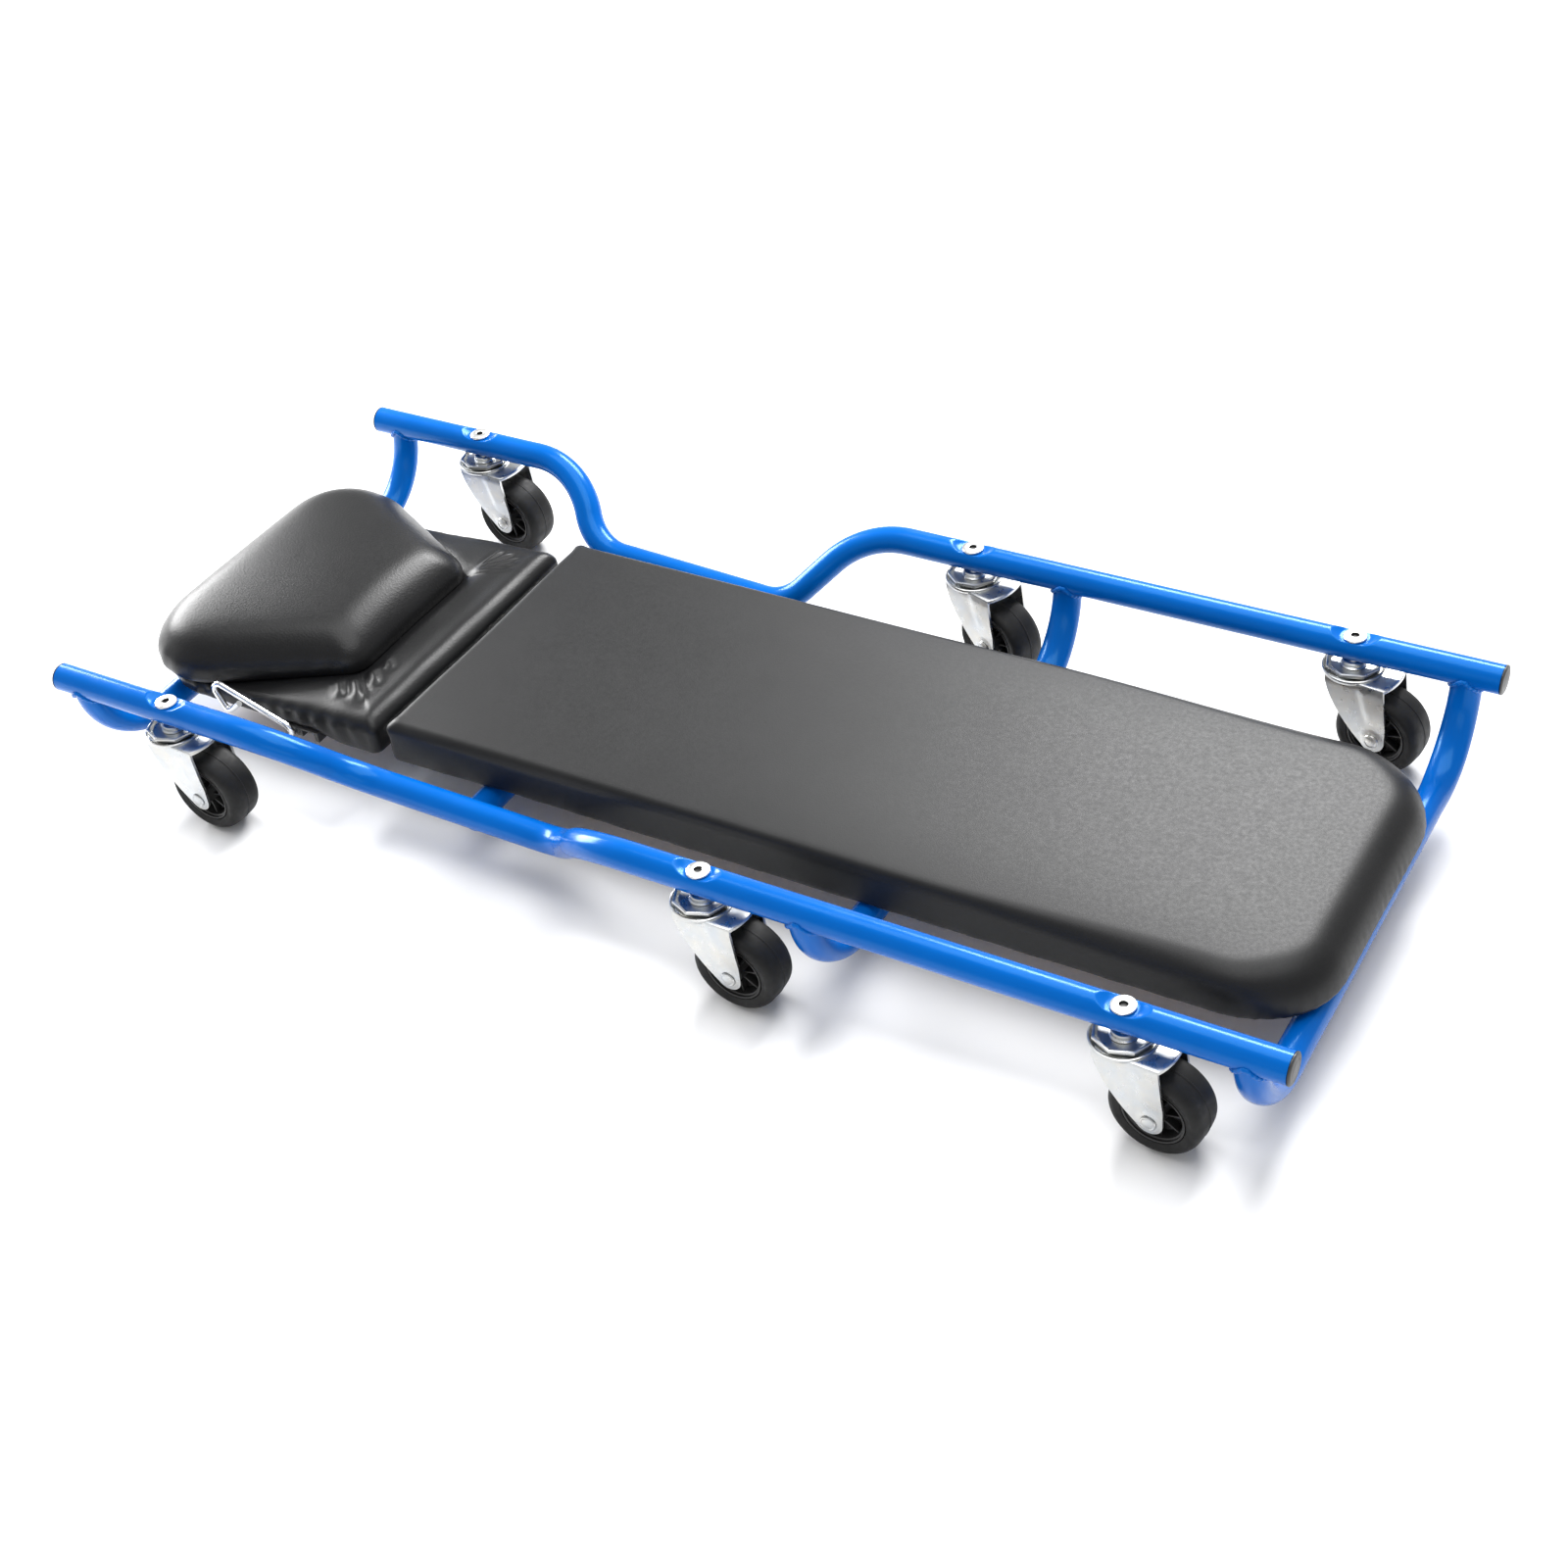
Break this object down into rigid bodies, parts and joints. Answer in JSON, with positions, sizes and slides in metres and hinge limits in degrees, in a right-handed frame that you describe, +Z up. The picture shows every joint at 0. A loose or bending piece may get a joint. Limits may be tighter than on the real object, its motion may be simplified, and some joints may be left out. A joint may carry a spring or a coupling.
{
  "type": "mechanics creeper",
  "caption": "Low rolling bed for working under a vehicle: padded deck on a dipped tube frame, swivel casters and a headrest that tilts up on a wire prop.",
  "frame": {"origin": "on the floor, under the middle of the side rails", "axes": "+X from the head end to the foot end, +Z up"},
  "size_m": [1.023, 0.4574, 0.1102],
  "materials": {
    "blue_paint": "gloss blue powder coat",
    "cap_plastic": "moulded black, slightly domed",
    "hub_plastic": "moulded black",
    "tyre_rubber": "dark grey, scuffed tread",
    "bed_vinyl": "fine-grained black vinyl, satin",
    "headrest_vinyl": "grained black vinyl, satin to glossy",
    "board_wood": "plain plywood",
    "black_steel": "black painted steel",
    "bright_wire": "bright zinc-plated wire",
    "bolt_zinc": "bright zinc plate",
    "zinc_steel": "zinc-plated pressed steel"
  },
  "bodies": {
    "frame": {"side_rail_right": "blue_paint", "side_rail_left": "blue_paint", "end_cap_head_right": "cap_plastic", "end_cap_foot_right": "cap_plastic", "end_cap_head_left": "cap_plastic", "end_cap_foot_left": "cap_plastic", "cross_tube_head": "blue_paint", "cross_tube_shoulder": "blue_paint", "cross_tube_hip": "blue_paint", "cross_tube_foot": "blue_paint", "caster_bolt_head_right": "bolt_zinc", "caster_bolt_middle_right": "bolt_zinc", "caster_bolt_foot_right": "bolt_zinc", "caster_bolt_head_left": "bolt_zinc", "caster_bolt_middle_left": "bolt_zinc", "caster_bolt_foot_left": "bolt_zinc", "swivel_cup_head_right": "zinc_steel", "swivel_cup_middle_right": "zinc_steel", "swivel_cup_foot_right": "zinc_steel", "swivel_cup_head_left": "zinc_steel", "swivel_cup_middle_left": "zinc_steel", "swivel_cup_foot_left": "zinc_steel", "bed_board": "board_wood", "bed_cushion": "bed_vinyl", "hinge_leaf_bed": "zinc_steel", "hinge_pin": "zinc_steel", "notch_rack": "black_steel"},
    "headrest": {"headrest_board": "board_wood", "headrest_cushion": "headrest_vinyl", "head_pillow": "headrest_vinyl", "hinge_leaf_headrest": "zinc_steel", "wire_clip_right": "black_steel", "wire_clip_left": "black_steel"},
    "prop": {"prop_wire": "bright_wire"},
    "swivel_head_right": {"fork_head_right": "zinc_steel", "axle_head_right": "zinc_steel"},
    "wheel_head_right": {"hub_head_right": "hub_plastic", "tyre_head_right": "tyre_rubber"},
    "swivel_middle_right": {"fork_middle_right": "zinc_steel", "axle_middle_right": "zinc_steel"},
    "wheel_middle_right": {"hub_middle_right": "hub_plastic", "tyre_middle_right": "tyre_rubber"},
    "swivel_foot_right": {"fork_foot_right": "zinc_steel", "axle_foot_right": "zinc_steel"},
    "wheel_foot_right": {"hub_foot_right": "hub_plastic", "tyre_foot_right": "tyre_rubber"},
    "swivel_head_left": {"fork_head_left": "zinc_steel", "axle_head_left": "zinc_steel"},
    "wheel_head_left": {"hub_head_left": "hub_plastic", "tyre_head_left": "tyre_rubber"},
    "swivel_middle_left": {"fork_middle_left": "zinc_steel", "axle_middle_left": "zinc_steel"},
    "wheel_middle_left": {"hub_middle_left": "hub_plastic", "tyre_middle_left": "tyre_rubber"},
    "swivel_foot_left": {"fork_foot_left": "zinc_steel", "axle_foot_left": "zinc_steel"},
    "wheel_foot_left": {"hub_foot_left": "hub_plastic", "tyre_foot_left": "tyre_rubber"}
  },
  "joints": [
    {"name": "headrest_tilt", "type": "hinge", "parent": "frame", "child": "headrest", "pos_m": [-0.2565, 0, 0.0447], "axis": [0, 1, 0], "range_deg": [0, 30]},
    {"name": "prop_swing", "type": "hinge", "parent": "headrest", "child": "prop", "pos_m": [-0.346, 0, 0.0392], "axis": [0, 1, 0], "range_deg": [-76.5, 0]},
    {"name": "swivel_head_right", "type": "hinge", "parent": "frame", "child": "swivel_head_right", "pos_m": [-0.3944, -0.206, 0.0991], "axis": [0, 0, 1], "continuous": true},
    {"name": "wheel_head_right", "type": "hinge", "parent": "swivel_head_right", "child": "wheel_head_right", "pos_m": [-0.36821, -0.20669, 0.0336], "axis": [0.0262, 0.9997, 0], "continuous": true},
    {"name": "swivel_middle_right", "type": "hinge", "parent": "frame", "child": "swivel_middle_right", "pos_m": [0.0871, -0.206, 0.0991], "axis": [0, 0, 1], "continuous": true},
    {"name": "wheel_middle_right", "type": "hinge", "parent": "swivel_middle_right", "child": "wheel_middle_right", "pos_m": [0.1133, -0.20641, 0.0336], "axis": [0.0157, 0.9999, 0], "continuous": true},
    {"name": "swivel_foot_right", "type": "hinge", "parent": "frame", "child": "swivel_foot_right", "pos_m": [0.3968, -0.206, 0.0991], "axis": [0, 0, 1], "continuous": true},
    {"name": "wheel_foot_right", "type": "hinge", "parent": "swivel_foot_right", "child": "wheel_foot_right", "pos_m": [0.42295, -0.20755, 0.0336], "axis": [0.0593, 0.9982, 0], "continuous": true},
    {"name": "swivel_head_left", "type": "hinge", "parent": "frame", "child": "swivel_head_left", "pos_m": [-0.3944, 0.206, 0.0991], "axis": [0, 0, 1], "continuous": true},
    {"name": "wheel_head_left", "type": "hinge", "parent": "swivel_head_left", "child": "wheel_head_left", "pos_m": [-0.3683, 0.20367, 0.0336], "axis": [0.0889, 0.996, 0], "continuous": true},
    {"name": "swivel_middle_left", "type": "hinge", "parent": "frame", "child": "swivel_middle_left", "pos_m": [0.0871, 0.206, 0.0991], "axis": [0, 0, 1], "continuous": true},
    {"name": "wheel_middle_left", "type": "hinge", "parent": "swivel_middle_left", "child": "wheel_middle_left", "pos_m": [0.11205, 0.19799, 0.0336], "axis": [0.3057, 0.9521, 0], "continuous": true},
    {"name": "swivel_foot_left", "type": "hinge", "parent": "frame", "child": "swivel_foot_left", "pos_m": [0.3968, 0.206, 0.0991], "axis": [0, 0, 1], "continuous": true},
    {"name": "wheel_foot_left", "type": "hinge", "parent": "swivel_foot_left", "child": "wheel_foot_left", "pos_m": [0.42282, 0.20294, 0.0336], "axis": [0.1167, 0.9932, 0], "continuous": true}
  ],
  "couplings": [
    {"joint": "prop_swing", "follows": "headrest_tilt", "ratio": -2.55}
  ]
}
